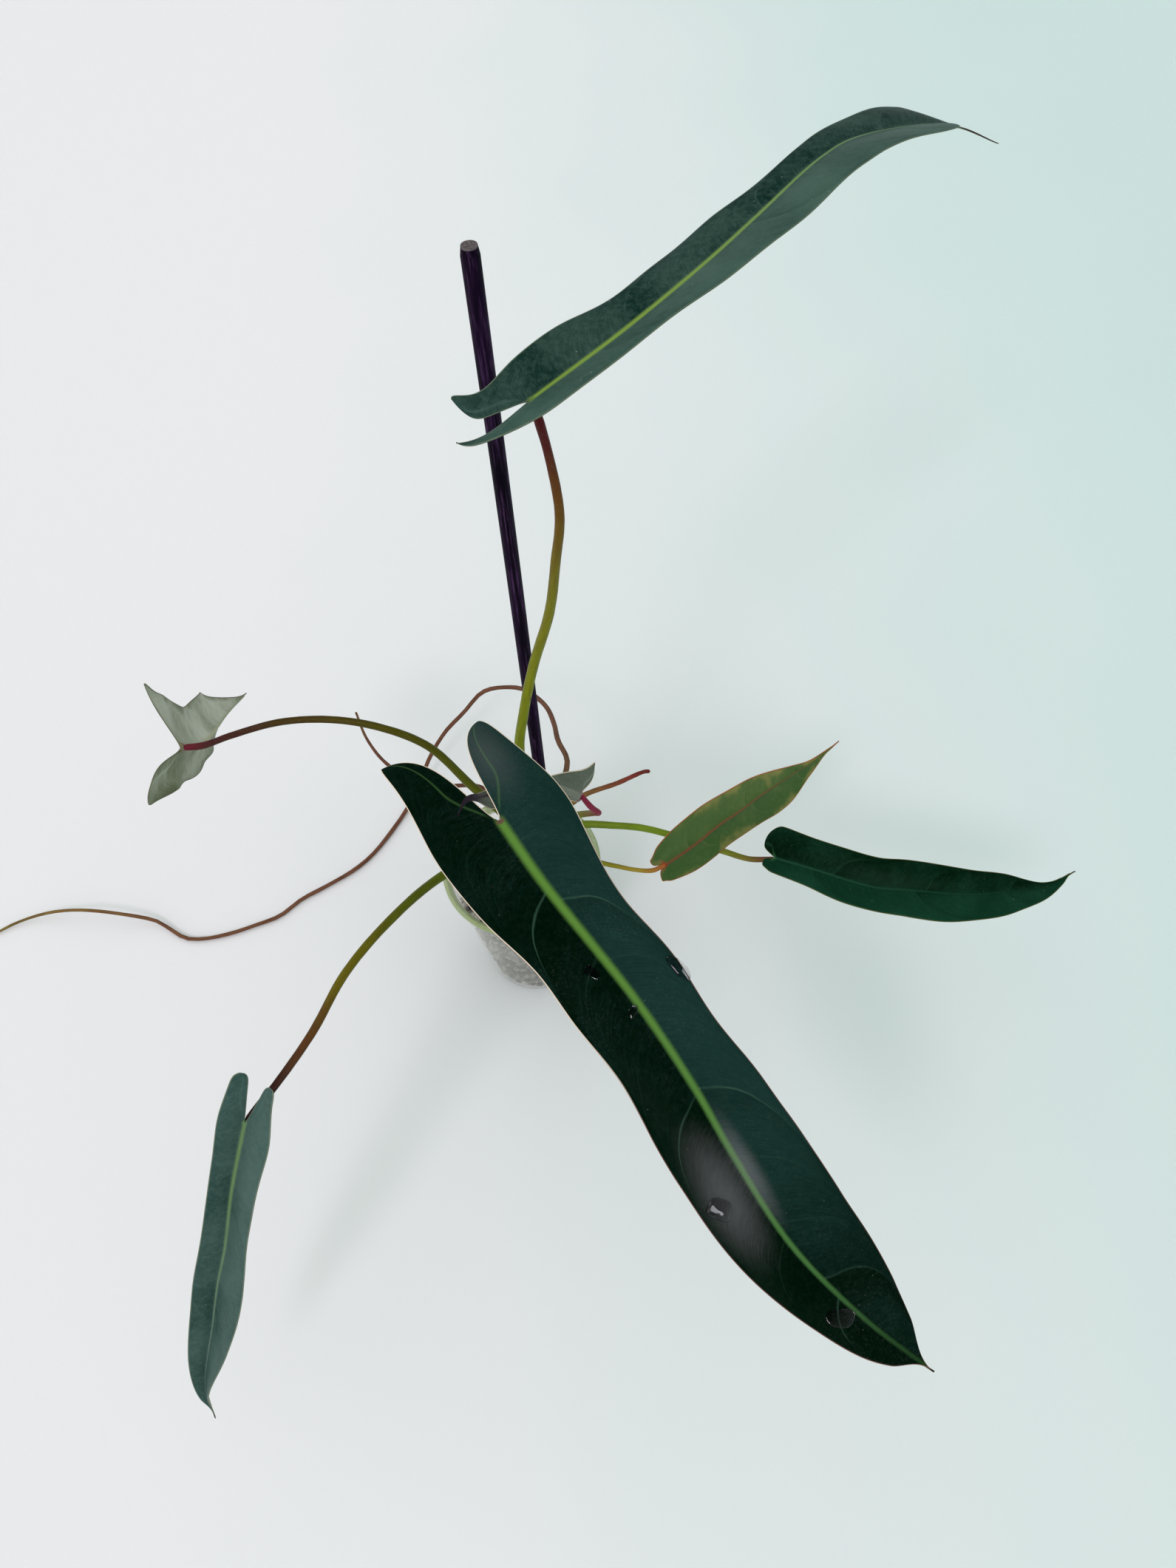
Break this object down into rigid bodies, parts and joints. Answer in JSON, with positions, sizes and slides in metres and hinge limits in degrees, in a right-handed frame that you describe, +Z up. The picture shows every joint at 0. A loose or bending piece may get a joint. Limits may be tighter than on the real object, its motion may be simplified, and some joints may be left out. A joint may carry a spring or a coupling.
{
  "type": "potted philodendron spiritus-sancti",
  "caption": "Potted climbing aroid with long narrow arrow-shaped leaves on curved petioles, trailing aerial roots and a wooden stake, in a clear nursery pot.",
  "frame": {"origin": "centre of the pot's underside, on the surface that it stands on", "axes": "+Z up, -Y towards the front, where the largest leaf reaches forward, +X to the right seen from the front"},
  "size_m": [0.7574, 0.5276, 0.5061],
  "materials": {
    "pot": "clear, slightly cloudy",
    "substrate": "coarse and matt",
    "stake": "stained dark",
    "stem": "satin",
    "petiole": "satin",
    "petiole_young": "satin",
    "blade": "satin",
    "blade_old": "satin",
    "blade_young": "satin",
    "root": "matt"
  },
  "bodies": {
    "root": {"pot": "pot", "substrate": "substrate", "stake": "stake", "stem": "stem", "leaf_front": "blade", "petiole_front": "petiole", "leaf_high": "blade", "petiole_high": "petiole", "leaf_left": "blade", "petiole_left": "petiole", "leaf_low": "blade", "petiole_low": "petiole", "leaf_old": "blade_old", "petiole_old": "petiole", "leaf_right": "blade", "petiole_right": "petiole", "leaf_young": "blade_young", "petiole_young": "petiole_young", "root_long": "root", "root_short": "root", "root_young": "root"}
  },
  "joints": []
}
